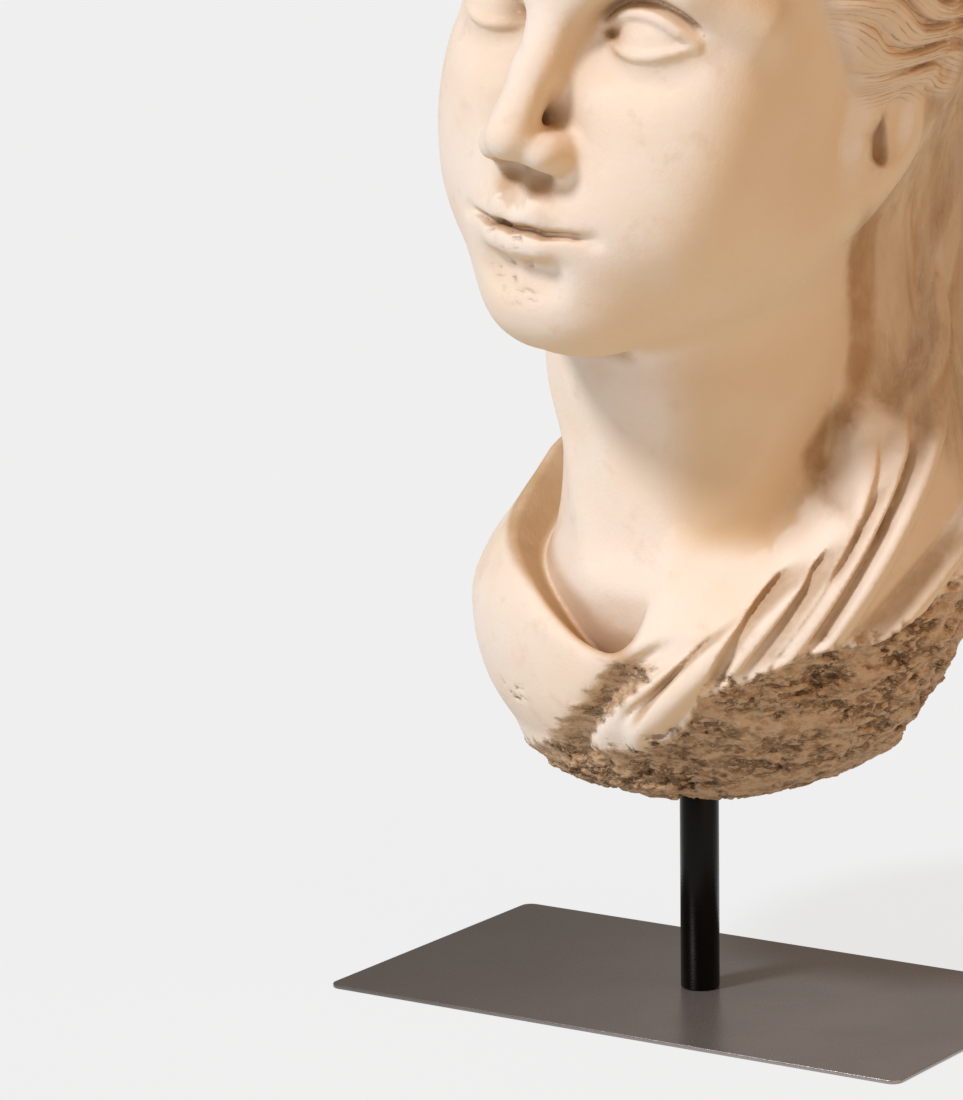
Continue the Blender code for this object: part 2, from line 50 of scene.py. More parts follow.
BUST_LOW, BUST_HIGH = (np.array(corner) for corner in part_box("bust"))
BUST_LIFT = BUST_LOW[2]
ROD_RADIUS = (ROD_HIGH[0] - ROD_LOW[0]) / 2
PLATE_CORNER = 0.0045
CLEARANCE = 0.0003
SOCKET_BELOW = 0.02

# Small edges, and the steps that make a round one
ROD_CHAMFER = 0.0004
PLATE_EASE = 0.0002
ROD_SIDES = 96
CORNER_STEPS = 12

# The bust is carved in its own units, 423 to its height, counted up from its underside.
UNITS_HIGH = 423.0
UNIT = 0.423 / UNITS_HIGH
HEAD_HEIGHT = 239.0
HEAD_AT = (22.0, -27.0, 296.0)
HEAD_TURN = radians(-5.0)
HEAD_LEAN = radians(8.0)
HEAD_NOD = radians(-1.0)
CHEST_AXIS = (5.0, 12.0)
FOLD_REACH = 90.0

# Step of the carving grid, in units, and the triangles kept of its skin
GRID = 1.15
BUST_TRIANGLES = 196000

# Eyes, in head heights from the middle of the eye line
EYE_AT = np.array((0.138, -0.298, -0.004))
EYE_RADIUS = 0.067


def join(a, b, k):
    """Union of two forms with a rounded seam of width k."""
    h = np.maximum(k - np.abs(a - b), 0.0) / k
    return np.minimum(a, b) - h * h * k * 0.25


def cut(a, b, k):
    """What two forms share, with a rounded edge of width k."""
    return -join(-a, -b, k)


def ease(t):
    """0 to 1 with a soft start and a soft end, as t goes from 0 to 1."""
    t = np.clip(t, 0.0, 1.0)
    return t * t * (3.0 - 2.0 * t)


def curve(at, *pairs):
    """Smooth curve through (place, value) pairs."""
    place = np.array([pair[0] for pair in pairs], dtype=float)
    value = np.array([pair[1] for pair in pairs], dtype=float)
    slope = np.gradient(value, place)
    slope[0] = 0.0
    slope[-1] = 0.0
    at = np.clip(at, place[0], place[-1])
    i = np.clip(np.searchsorted(place, at) - 1, 0, len(place) - 2)
    span = place[i + 1] - place[i]
    t = (at - place[i]) / span
    low = (1 + 2 * t) * (1 - t) ** 2 * value[i] + t * (1 - t) ** 2 * span * slope[i]
    return low + t * t * (3 - 2 * t) * value[i + 1] + t * t * (t - 1) * span * slope[i + 1]


def ball(p, centre, radii):
    """Distance to an ellipsoid."""
    q = (p - np.array(centre)) / np.array(radii)
    near = np.sqrt((q * q).sum(-1))
    slope = np.sqrt(((q / np.array(radii)) ** 2).sum(-1)) + 1e-9
    return near * (near - 1.0) / slope


def taper(p, a, b):
    """Distance to a round bar from a to b, each given as x, y, z, radius."""
    start = np.array(a[:3], dtype=float)
    along = np.array(b[:3], dtype=float) - start
    off = p - start
    h = np.clip((off @ along) / (along @ along), 0.0, 1.0)
    return np.sqrt(((off - h[:, None] * along) ** 2).sum(-1)) - (a[3] + (b[3] - a[3]) * h)


def string(p, points, k=0.0):
    """Round bars joined end to end."""
    d = taper(p, points[0], points[1])
    for a, b in zip(points[1:-1], points[2:]):
        e = taper(p, a, b)
        d = join(d, e, k) if k else np.minimum(d, e)
    return d


def lid_edge(dx, upper):
    """Height of a lid's edge over the middle of the eyeball."""
    over = np.abs(dx / (1.08 * EYE_RADIUS))
    if upper:
        return 0.58 * EYE_RADIUS * (1 - over ** 2.1) + 0.05 * dx
    return -0.34 * EYE_RADIUS * (1 - over ** 2.0) + 0.05 * dx


def lid_rim(upper):
    """Rolled edge of a lid, laid on the eyeball."""
    points = []
    radius = EYE_RADIUS * (1.07 if upper else 1.03)
    thick = EYE_RADIUS * (0.145 if upper else 0.105)
    for i in range(9):
        dx = EYE_RADIUS * (-1.05 + 2.10 * i / 8.0)
        dz = lid_edge(dx, upper)
        dy = -np.sqrt(max(radius ** 2 - dx ** 2 - dz ** 2, (0.3 * EYE_RADIUS) ** 2))
        points.append((*(EYE_AT + (dx, dy, dz)), thick * (0.75 + 0.25 * sin(pi * i / 8.0))))
    return points


def line(at, middle, width):
    """1 along a line and 0 away from it, for a groove or a ridge."""
    return np.exp(-(((at - middle) / width) ** 2))


# Lines through the features in head heights, each point as across, depth, height and half thickness
BROW = ((0.0, -0.372, 0.070, 0.026), (0.050, -0.378, 0.072, 0.024), (0.115, -0.368, 0.092, 0.022),
        (0.190, -0.325, 0.085, 0.024), (0.258, -0.235, 0.035, 0.026))
NOSE = ((0.0, -0.362, 0.110, 0.020), (0.0, -0.372, 0.040, 0.030), (0.0, -0.420, -0.070, 0.030),
        (0.0, -0.463, -0.165, 0.036))
UPPER_LIP = ((0.0, -0.407, -0.283, 0.023), (0.027, -0.406, -0.277, 0.025),
             (0.066, -0.384, -0.287, 0.020), (0.104, -0.350, -0.300, 0.012))
LOWER_LIP = ((0.0, -0.401, -0.333, 0.030), (0.034, -0.395, -0.331, 0.029),
             (0.068, -0.371, -0.320, 0.021), (0.100, -0.350, -0.307, 0.012))


def features(p, m, d):
    """Sockets, brow, nose, eyes and mouth; m is p folded over the middle of the face."""
    x, y, z = m.T
    d = cut(d, -ball(m, (0.140, -0.412, -0.002), (0.100, 0.078, 0.062)), 0.07)
    d = join(d, string(m, BROW, 0.03), 0.07)
    d = join(d, string(p, NOSE, 0.02), 0.055)
    d = join(d, ball(m, (0.044, -0.412, -0.186), (0.030, 0.048, 0.030)), 0.032)
    d = cut(d, -ball(m, (0.030, -0.424, -0.222), (0.017, 0.026, 0.017)), 0.016)
    eye = m - EYE_AT
    reach = np.sqrt((eye * eye).sum(-1))
    opening = np.maximum(eye[:, 2] - lid_edge(eye[:, 0], True), lid_edge(eye[:, 0], False) - eye[:, 2])
    opening = np.maximum(opening, eye[:, 1] + 0.30 * EYE_RADIUS)
    d = cut(join(d, reach - 1.06 * EYE_RADIUS, 0.030), -opening, 0.006)
    d = join(d, reach - EYE_RADIUS, 0.002)
    d = join(d, string(m, lid_rim(True)), 0.010)
    d = join(d, string(m, lid_rim(False)), 0.010)
    across = np.abs(eye[:, 0]) / EYE_RADIUS
    crease = 0.90 * EYE_RADIUS * (1 - (across / 1.45) ** 2.2) + 0.05 * eye[:, 0]
    d = d + 0.010 * line(eye[:, 2], crease, 0.009) * ease((1.35 - across) / 0.5)
    d = join(d, string(m, UPPER_LIP, 0.012), 0.018)
    d = join(d, string(m, LOWER_LIP, 0.012), 0.018)
    parting = curve(x, (0.0, -0.3065), (0.022, -0.3030), (0.048, -0.3055), (0.078, -0.3020),
                    (0.112, -0.3035))
    mouth = ease((-y - 0.20) / 0.05)
    d = d + 0.013 * line(z, parting, 0.007) * ease((0.118 - x) / 0.03) * mouth
    d = d + 0.007 * line(x, 0.116, 0.013) * line(z, -0.304, 0.014) * mouth
    d = cut(d, -taper(p, (0.0, -0.452, -0.220, 0.010), (0.0, -0.436, -0.262, 0.013)), 0.020)
    return cut(d, -taper(m, (0.0, -0.425, -0.382, 0.018), (0.045, -0.408, -0.376, 0.016)), 0.05)


def face(p, m):
    """Skull, cheeks, jaw and chin in head heights, with the features carved in front."""
    d = ball(p, (0.0, 0.03, 0.125), (0.312, 0.385, 0.36))
    d = join(d, ball(p, (0.0, -0.095, -0.13), (0.270, 0.285, 0.345)), 0.10)
    d = join(d, taper(m, (0.195, 0.05, -0.19, 0.092), (0.168, -0.05, -0.285, 0.086)), 0.12)
    d = join(d, taper(m, (0.168, -0.05, -0.285, 0.086), (0.062, -0.25, -0.405, 0.078)), 0.12)
    d = join(d, ball(p, (0.0, -0.305, -0.412), (0.100, 0.085, 0.082)), 0.08)
    d = join(d, ball(m, (0.145, -0.225, -0.130), (0.128, 0.122, 0.150)), 0.12)
    d = join(d, ball(m, (0.115, -0.205, -0.265), (0.120, 0.125, 0.120)), 0.12)
    d = join(d, ball(p, (0.0, -0.195, 0.19), (0.24, 0.175, 0.18)), 0.12)
    d = join(d, ball(p, (0.0, -0.310, -0.290), (0.125, 0.105, 0.095)), 0.08)
    front = (p[:, 1] < -0.14) & (p[:, 2] < 0.22) & (p[:, 2] > -0.47) & (np.abs(d) < 0.12)
    if front.any():
        d[front] = features(p[front], m[front], d[front])
    return d


def ear(m):
    """Shell, lobe, hollow and tragus of an ear."""
    d = ball(m, (0.288, 0.070, -0.110), (0.054, 0.090, 0.125))
    d = join(d, ball(m, (0.278, 0.018, -0.232), (0.040, 0.048, 0.052)), 0.06)
    d = cut(d, -ball(m, (0.352, 0.052, -0.112), (0.040, 0.040, 0.062)), 0.018)
    d = cut(d, -ball(m, (0.312, 0.030, -0.142), (0.050, 0.024, 0.034)), 0.010)
    return join(d, ball(m, (0.300, -0.006, -0.150), (0.022, 0.016, 0.024)), 0.012)


def hairline(p):
    """Below zero behind the line where the hair begins."""
    over_ears = 0.05 * np.maximum(np.abs(p[:, 0]) - 0.12, 0.0)
    return -0.80 * p[:, 1] - 0.60 * p[:, 2] - 0.075 + over_ears


def comb(p):
    """The way across the waving strands of hair, and how far along them."""
    back = np.arctan2(p[:, 2] + 0.02, 0.50 - p[:, 1])
    along = np.hypot(p[:, 2] + 0.02, 0.50 - p[:, 1])
    return back + 0.030 * np.sin(along * 27.0 + 2.5 * np.sin(back * 6.0)) + 0.10 * np.abs(p[:, 0]), along


def hair(p, m, d):
    """Parted hair in waves that are drawn back over the tops of the ears."""
    x, y, z = p.T
    cap = ball(p, (0.0, 0.045, 0.130), (0.352, 0.408, 0.392))
    cap = join(cap, ball(m, (0.232, 0.06, 0.02), (0.118, 0.21, 0.155)), 0.08)
    begun = hairline(p)
    wave, along = comb(p)
    lock = np.abs(np.sin(wave * 33.0 + 0.8 * np.sin(along * 9.0))) ** 0.8
    strand = np.abs(np.sin(wave * 66.0 + 1.3 + 1.1 * np.sin(along * 17.0)))
    grown = 0.3 + 0.7 * ease(-begun / 0.10)
    cap = cap + 0.016 - (0.020 * lock + 0.007 * strand) * grown
    cap = cap + 0.022 * np.exp(-(x / 0.014) ** 2) * ease((0.25 - y) / 0.2)
    cap = cut(cap, begun, 0.04)
    cap = cut(cap, -(z + 0.082 - 0.10 * y), 0.03)
    return join(d, cap, 0.012)


def veil(p):
    """Cloth over the back of the head, with a rolled front edge."""
    y, z = p[:, 1], p[:, 2]
    shell = ball(p, (0.0, 0.080, 0.100), (0.374, 0.418, 0.430))
    edge = 0.150 - y + 0.16 * z + 0.012 * np.sin(z * 16.0)
    roll = np.hypot(np.maximum(shell, -0.05), edge + 0.022) - 0.020
    shell = join(cut(shell, edge, 0.03), roll, 0.02)
    return cut(shell, -z - 0.30, 0.10)


def in_units(points):
    """Points, in metres, in the bust's own units."""
    return (points - (0.0, 0.0, BUST_LIFT)) / UNIT


def in_heads(p):
    """Points in units, in head heights along the head's own axes."""
    return (p - np.array(HEAD_AT)) @ head_frame() / HEAD_HEIGHT


def head_frame():
    """Axes of the head: turned, leant and nodded."""
    c, s = cos(HEAD_TURN), sin(HEAD_TURN)
    turn = np.array([[c, -s, 0], [s, c, 0], [0, 0, 1]])
    c, s = cos(HEAD_LEAN), sin(HEAD_LEAN)
    lean = np.array([[c, 0, s], [0, 1, 0], [-s, 0, c]])
    c, s = cos(HEAD_NOD), sin(HEAD_NOD)
    nod = np.array([[1, 0, 0], [0, c, -s], [0, s, c]])
    return lean @ turn @ nod


def neck(p):
    """Neck with its tendons and the dip between the collar bones."""
    x, y, z = p.T
    x = x - curve(z, (77, 3), (137, 8), (207, 10))
    y = y - curve(z, (77, 12), (137, 3), (207, 0))
    radius = curve(z, (35, 40), (60, 64), (77, 68.5), (102, 61.5), (134, 59), (160, 63), (207, 63))
    side = np.abs(np.degrees(np.arctan2(x, -y)))
    tendon = line(side, curve(z, (75, 14), (120, 34), (200, 72)), 9.0) * ease((z - 72.0) / 20.0)
    d = np.hypot(x, y) - radius - 1.6 * tendon + 1.6 * line(side, 0.0, 10.0) * line(z, 74.0, 10.0)
    return cut(d, np.maximum(38.0 - z, z - 225.0), 12.0)


# Angle round the chest and height at the top, middle and foot of each line, half width, rise or depth
FOLD_LINES = (((26, 69), (17, 59), (2, 42), 2.8, 2.8), ((38, 84), (27, 63), (8, 35), 7.6, 5.6),
              ((60, 118), (46, 89), (29, 53), 3.8, 4.4), ((68, 137), (54, 97), (36, 57), 4.6, 5.6),
              ((77, 147), (62, 107), (47, 70), 4.6, 6.2), ((86, 152), (71, 114), (53, 70), 6.6, 7.4),
              ((102, 136), (83, 98), (71, 77), 6.2, 6.2), ((117, 150), (101, 110), (88, 80), 7.0, 4.5))
GROOVE_LINES = (((34, 80), (22, 64), (8, 41), 2.2, 2.2), ((51, 99), (41, 86), (28, 53), 3.4, 3.0),
                ((57, 107), (50, 91), (35, 56), 3.6, 2.8), ((70, 130), (62, 111), (56, 97), 2.2, 2.0),
                ((82, 148), (67, 112), (51, 72), 2.6, 2.8), ((90, 112), (76, 93), (64, 72), 5.5, 2.0))


def drawn_line(angle, z, top, middle, foot, width):
    """1 along a bowed line over the chest and 0 away from it; it narrows and fades towards its top."""
    up = (z - foot[1]) / (top[1] - foot[1])
    at = (middle[1] - foot[1]) / (top[1] - foot[1])
    bow = (middle[0] - foot[0] - (top[0] - foot[0]) * at) / (at * (1.0 - at))
    ridge = foot[0] + (top[0] - foot[0]) * up + bow * up * (1.0 - up)
    slant = np.radians(top[0] - foot[0] + bow * (1.0 - 2.0 * up)) * FOLD_REACH / (top[1] - foot[1])
    off = np.radians(angle - ridge) * FOLD_REACH / np.hypot(1.0, slant)
    width = width * np.clip(1.15 - 0.35 * up, 0.6, 1.3)
    return np.clip(1.0 - (off / width) ** 2, 0.0, 1.0) * ease((top[1] + 8.0 - z) / 20.0)


def gathered_folds(angle, z):
    """Ridges of cloth that run down from the shoulder and draw together over the chest."""
    total = np.zeros_like(z)
    for top, middle, foot, width, rise in FOLD_LINES:
        total = total + (rise * drawn_line(angle, z, top, middle, foot, width)) ** 4
    return total ** 0.25


def fold_grooves(angle, z):
    """Narrow hollows between the gathered folds."""
    total = np.zeros_like(z)
    for top, middle, foot, width, depth in GROOVE_LINES:
        hollow = drawn_line(angle, z, top, middle, foot, width) ** 1.6
        total = total + depth * hollow * ease((z - foot[1] + 8.0) / 10.0)
    return total


def hanging_folds(angle, z):
    """Soft upright folds of the cloth behind."""
    turn = np.radians(angle) * 7.0 + 0.006 * (z - 67.0) + 0.5 * np.sin(z * 0.033)
    return 5.5 * (np.abs(np.sin(turn)) ** 0.7 - 0.45)


def break_height(angle):
    """Height of the broken edge of the cloth, by the angle round the chest."""
    return curve(angle, (-180, 52), (-120, 37), (-60, 15), (-21, 24), (-8, 24), (12, 30), (19, 37),
                 (23, 46), (37, 58), (50, 68), (66, 71), (75, 79), (93, 87), (130, 77), (180, 52))


def rim_height(angle):
    """Height of the top edge of the cloth round the neck."""
    return curve(angle, (-180, 297), (-132, 297), (-112, 150), (-98, 139), (-80, 120), (-57, 100),
                 (-42, 92), (-30, 84), (-20, 75), (-10, 67), (0, 63), (10, 64), (22, 70), (40, 85),
                 (55, 107), (62, 122), (66, 145), (70, 230), (75, 297), (180, 297))


def chest_angle(p):
    """Degrees round the chest's axis, 0 in front and growing towards the gathered folds."""
    return np.degrees(np.arctan2(p[:, 0] - CHEST_AXIS[0], CHEST_AXIS[1] - p[:, 1]))


def chest_reach(p):
    """Distance from the chest's axis."""
    return np.hypot(p[:, 0] - CHEST_AXIS[0], p[:, 1] - CHEST_AXIS[1])


def strip_edge(z):
    """Angle where the hollow beside the neck meets the fall of cloth, by height."""
    return curve(z, (150, 78), (157, 81), (172, 88), (192, 93), (208, 95), (235, 100))


def cloth(p):
    """Bowl of the chest, with the collar, the gathered folds and the fall of cloth behind the neck."""
    x, y, z = p.T
    middle_x = curve(z, (-3, 0), (29, 1), (57, 3), (77, 5), (157, 8), (277, 16))
    middle_y = curve(z, (-3, 10), (77, 14), (157, 26), (277, 30))
    wide = curve(z, (-7, 20), (1, 42), (7, 57), (15, 69), (24, 78), (35, 86.5), (52, 94.5), (77, 100),
                 (122, 100), (152, 93), (197, 83), (277, 82))
    deep = 0.86 * wide - curve(z, (67, 0), (122, 8), (167, 10), (277, 9))
    angle = chest_angle(p)
    qx, qy = (x - middle_x) / wide, (y - middle_y) / deep
    near = np.hypot(qx, qy)
    d = near * (near - 1.0) / (np.hypot(qx / wide, qy / deep) + 1e-9)
    far_side = ease((-angle - 5.0) / 30.0) * ease((150.0 + angle) / 20.0)
    fuller = 1.8 * ease((92.0 - z) / 26.0) + 11.0 * ease((26.0 - z) / 26.0)
    d = d - fuller * ease((angle + 125.0) / 40.0) * ease((20.0 - angle) / 40.0)
    d = d - 8.0 * ease((14.0 - z) / 14.0) * ease((angle + 20.0) / 30.0) * ease((75.0 - angle) / 40.0)
    d = d - 6.0 * line(angle, 114.0, 13.0) * line(z, 12.0, 9.0)
    d = d + far_side * curve(z, (72, 0), (90, 4.5), (105, 13), (120, 20), (132, 25))
    near_side = ease((angle + 2.0) / 8.0) * ease((140.0 - angle) / 30.0)
    gone = ease((break_height(angle) - z) / 4.5)
    d = d - gathered_folds(angle, z) * near_side * (1.0 - 0.9 * gone)
    off = np.radians(angle + 19.0 - 29.0 * (z - 25.0) / 38.0) * 64.0
    d = d + 5.5 * line(off, 0.0, 5.5) * ease((75.0 - z) / 12.0) * ease((z - 14.0) / 10.0)
    d = d - hanging_folds(angle, z) * ease((np.abs(angle) - 78.0) / 22.0) * ease((z - 47.0) / 40.0)
    rough = np.sin(x * 0.41 + 2.0 * np.sin(z * 0.3)) * np.sin(y * 0.38 + 1.7 * np.sin(x * 0.25))
    broad = np.sin(x * 0.16 + z * 0.21) * np.sin(y * 0.19 - z * 0.12)
    rough = rough * np.sin(z * 0.45 + 1.0) + 0.6 * broad
    d = d + gone * (3.0 + 1.2 * rough)
    edge = strip_edge(z)
    d = d + 6.5 * ease((edge - angle) / 2.0) * ease((z - 146.0) / 14.0) * ease((angle - 50.0) / 8.0)
    d = d - 2.0 * line(angle, edge + 2.5, 2.2) * ease((z - 150.0) / 12.0) * (z < 290.0)
    rim = rim_height(angle)
    steep = (rim_height(angle + 1.0) - rim_height(angle - 1.0)) / 3.0
    reach = chest_reach(p)
    dip = 0.9 * np.clip(82.0 - reach, 0.0, 18.0)
    dip = dip * ease((9.0 - angle) / 26.0) * ease((angle + 150.0) / 30.0)
    flare = np.maximum(106.0 - rim, 14.0) * np.clip((93.0 - reach) / 28.0, 0.0, 1.15) ** 2
    flare = flare * ease((angle + 3.0) / 18.0) * ease((68.0 - angle) / 8.0)
    d = cut(d, (z - rim + dip - flare) / np.hypot(1.3, steep), 5.0)
    d = d + fold_grooves(angle, z) * near_side * (1.0 - 0.9 * gone)
    return cut(d, -z, 7.0)


def bust(points):
    """Distance from points, in metres, to the surface of the bust."""
    p = in_units(points)
    z = p[:, 2]
    solid = np.full(len(p), 300.0)
    cover = np.full(len(p), 300.0)
    up = z > 117.0
    if up.any():
        q = in_heads(p[up])
        rough = ball(q, (0.0, 0.04, 0.02), (0.40, 0.50, 0.56))
        head = rough + 0.05
        over = rough + 0.05
        near = rough < 0.25
        if near.any():
            q = q[near]
            m = np.column_stack((np.abs(q[:, 0]), q[:, 1:]))
            head[near] = hair(q, m, join(face(q, m), ear(m), 0.03))
            over[near] = veil(q)
        solid[up] = head * HEAD_HEIGHT
        angle = chest_angle(p[up])
        fade = ease((np.abs(angle) - 100.0) / 30.0) * ease((422.0 - z[up]) / 100.0)
        cover[up] = over * HEAD_HEIGHT - 0.7 * hanging_folds(angle, z[up]) * fade
    low = z < 247.0
    if low.any():
        solid[low] = join(solid[low], neck(p[low]), 18.0)
    low = z < 347.0
    if low.any():
        cover[low] = join(cover[low], cut(cloth(p[low]), z[low] - 302.0, 50.0), 22.0)
    return join(solid, cover, 4.0) * UNIT


def sample(form, low, high, step, block=6):
    """Values of the form on a grid; away from its surface only their sign is filled in."""
    count = np.ceil((high - low) / (step * block)).astype(int)
    grid = np.ones(count * block + 1, dtype=np.float32)
    cell = np.indices(count).reshape(3, -1).T
    value = form(low + (cell + 0.5) * block * step)
    near = np.abs(value) < 1.5 * block * step
    for a, b, c in cell[~near & (value < 0.0)] * block:
        grid[a:a + block + 1, b:b + block + 1, c:c + block + 1] = -1.0
    inner = np.indices((block + 1,) * 3).reshape(3, -1).T
    cell = cell[near] * block
    for start in range(0, len(cell), 500):
        place = (cell[start:start + 500, None] + inner).reshape(-1, 3)
        grid[tuple(place.T)] = form(low + place * step)
    return grid


def crossings(grid, cell):
    """Mean place where the surface crosses the twelve edges of each cell."""
    total = np.zeros((len(cell), 3))
    hits = np.zeros(len(cell))
    for corner in np.ndindex(2, 2, 2):
        for axis in range(3):
            if corner[axis]:
                continue
            step = np.eye(3, dtype=int)[axis]
            a = grid[tuple((cell + corner).T)]
            b = grid[tuple((cell + corner + step).T)]
            crossed = (a < 0.0) != (b < 0.0)
            share = a[crossed] / (a[crossed] - b[crossed])
            total[crossed] += np.array(corner) + share[:, None] * step
            hits += crossed
    return cell + total / hits[:, None]


def crossed_cells(inside):
    size = np.array(inside.shape) - 1
    some = np.zeros(size, dtype=bool)
    every = np.ones(size, dtype=bool)
    for i, j, k in np.ndindex(2, 2, 2):
        part = inside[i:size[0] + i, j:size[1] + j, k:size[2] + k]
        some |= part
        every &= part
    return np.argwhere(some & ~every)


def in_doubt():
    """For each of the 256 ways a cell can be crossed, whether its skin would touch itself."""
    corners = list(np.ndindex(2, 2, 2))
    answer = np.zeros(256, dtype=bool)
    for code in range(256):
        full = {corner for bit, corner in enumerate(corners) if code >> bit & 1}
        for group in (full, set(corners) - full):
            todo = list(group)[:1]
            reached = set(todo)
            while todo:
                here = todo.pop()
                beside = [c for c in group - reached if sum(a != b for a, b in zip(c, here)) == 1]
                reached.update(beside)
                todo.extend(beside)
            answer[code] |= reached != group
        for axis in range(3):
            for side in (0, 1):
                rim = [c for c in corners if c[axis] == side]
                flags = [c in full for c in rim]
                answer[code] |= flags[0] == flags[3] and flags[1] == flags[2] and flags[0] != flags[1]
    return answer


def settle_doubts(grid):
    """Fills the corner nearest the surface in each cell where the skin would touch itself."""
    doubt = in_doubt()
    corners = np.array(list(np.ndindex(2, 2, 2)))
    while True:
        cell = crossed_cells(grid < 0.0)
        value = np.stack([grid[tuple((cell + corner).T)] for corner in corners], axis=1)
        code = ((value < 0.0) << np.arange(8)).sum(axis=1)
        bad = doubt[code]
        if not bad.any():
            return grid
        nearest = np.where(value[bad] < 0.0, np.inf, value[bad]).argmin(axis=1)
        grid[tuple((cell[bad] + corners[nearest]).T)] = -1e-7


def skin(grid):
    """Closed quad skin: one point in each crossed cell, one face round each crossed edge."""
    inside = grid < 0.0
    size = np.array(grid.shape) - 1
    cell = crossed_cells(inside)
    number = np.zeros(size, dtype=np.int32)
    number[tuple(cell.T)] = np.arange(len(cell))
    faces = []
    for axis in range(3):
        step = np.eye(3, dtype=int)[axis]
        side = np.roll(step, 1)
        other = np.roll(step, 2)
        first = inside[tuple(slice(0, n - s + 1) for n, s in zip(size, step))]
        second = inside[tuple(slice(s, n + 1) for n, s in zip(size, step))]
        edge = np.argwhere(first != second)
        ring = (edge, edge - side, edge - side - other, edge - other)
        quad = np.stack([number[tuple(place.T)] for place in ring], axis=1)
        turned = ~first[tuple(edge.T)]
        quad[turned] = quad[turned][:, ::-1]
        faces.append(quad)
    return crossings(grid, cell), np.concatenate(faces)


def settle(form, points, step):
    """Moves each point along the slope onto the form's surface."""
    value = form(points)
    slope = np.stack([form(points + np.eye(3)[axis] * step) - value for axis in range(3)], axis=1) / step
    push = slope * (-value / np.maximum((slope * slope).sum(axis=1), 0.04))[:, None]
    length = np.linalg.norm(push, axis=1)
    return points + push * np.minimum(1.0, 4.0 * step / np.maximum(length, 1e-9))[:, None]


def values(mesh, name, numbers):
    """Stores one number for each point, for the relief and the finish to read."""
    layer = mesh.attributes.get(name) or mesh.attributes.new(name, "FLOAT", "POINT")
    layer.data.foreach_set("value", np.asarray(numbers, dtype=np.float32))


def points_of(mesh):
    flat = np.empty(len(mesh.vertices) * 3)
    mesh.vertices.foreach_get("co", flat)
    return flat.reshape(-1, 3)


def normals_of(mesh):
    flat = np.empty(len(mesh.vertices) * 3)
    mesh.vertices.foreach_get("normal", flat)
    return flat.reshape(-1, 3)


def carving_place(points):
    """Points in the bust's own units, with their angle round the chest."""
    p = in_units(points)
    return p, chest_angle(p)


def head_place(points):
    return in_heads(in_units(points))


def broken_part(points):
    """1 on the broken underside and in the torn strip beside the folds, 0 on finished surface."""
    p, angle = carving_place(points)
    z = p[:, 2]
    ragged = 1.6 * np.sin(angle * 0.83) + 1.2 * np.sin(angle * 1.9 + z * 0.5)
    ragged = ragged + 0.8 * np.sin(angle * 3.7 + 1.0)
    under = ease((break_height(angle) + 1.0 + ragged - z) / 3.5)
    left = curve(z, (19, -36), (36, -20), (48, -9), (59, -3)) + 1.5 * np.sin(z * 0.9)
    right = curve(z, (19, -18), (33, -8), (43, 2), (51, 9), (58, 13)) + 1.2 * np.sin(z * 1.3)
    strip = ease((angle - left) / 4.0) * ease((right - angle) / 3.0) * ease((62.0 - z) / 5.0)
    strip = strip * ease((z - 12.0) / 6.0)
    return np.maximum(under, 0.9 * strip)


def pocked_part(points):
    """1 where pits and chips gather: on the break, the feet of the folds, the roll and the lips."""
    p, angle = carving_place(points)
    z = p[:, 2]
    spots = line(angle, -41.0, 7.0) * line(z, 40.0, 5.0)
    feet = ease((break_height(angle) + 7.0 - z) / 5.0) * ease((angle + 30.0) / 20.0)
    spots = np.maximum(spots, 0.8 * feet)
    q = head_place(points)
    front = (q[:, 1] < -0.25) * line(q[:, 0], 0.0, 0.045)
    worn = front * np.maximum(line(q[:, 2], -0.292, 0.030), 0.9 * line(q[:, 2], -0.385, 0.028))
    return np.maximum(np.maximum(spots, worn), broken_part(points))


def streaked_part(points):
    """1 on the cloth that falls behind the ears and the neck."""
    p, angle = carving_place(points)
    z = p[:, 2]
    cover = join(veil(head_place(points)) * HEAD_HEIGHT, cut(cloth(p), z - 302.0, 50.0), 22.0)
    edge = curve(z, (120, 84), (150, 72), (165, 63), (230, 62))
    side = np.where(angle > 0.0, angle - edge, -angle - 92.0) + 60.0 * ease((z - 235.0) / 30.0)
    fall = ease(side / 8.0) * ease((z - 105.0) / 40.0)
    return ease((3.0 - cover) / 2.0) * fall * (1.0 - hair_part(points))


def recess_part(points):
    """Painted shade: 1 in the dark hollow between the neck and the cloth that falls beside it."""
    p, angle = carving_place(points)
    z = p[:, 2]
    left = curve(z, (112, 58), (125, 56), (135, 54), (146, 60), (155, 65), (190, 67), (230, 60))
    right = curve(z, (112, 62), (128, 64), (145, 68), (155, 73), (169, 78), (190, 81), (230, 82))
    wide = ease((angle - left) / 4.0) * ease((right - angle) / 3.0)
    wide = wide * ease((z - 106.0) / 10.0) * ease((236.0 - z) / 20.0)
    beside = line(angle, strip_edge(z) + 6.0, 1.8) * ease((z - 150.0) / 12.0) * ease((265.0 - z) / 20.0)
    return np.maximum(wide, beside)


def canal_part(points):
    """Painted shade: 1 in the hollow of each ear."""
    q = head_place(points)
    q[:, 0] = np.abs(q[:, 0])
    return ease(0.5 - ball(q, (0.316, 0.026, -0.140), (0.060, 0.027, 0.040)) / 0.010)


def hair_part(points):
    """1 on the hair in front of the veil."""
    q = head_place(points)
    front = ease((0.150 - q[:, 1] + 0.16 * q[:, 2] + 0.01) / 0.02)
    return ease((0.005 - hairline(q)) / 0.03) * ease((q[:, 2] + 0.095 - 0.10 * q[:, 1]) / 0.02) * front


def combed(points):
    """The way across the strands of hair, for fine lines drawn along them."""
    return comb(head_place(points))[0]


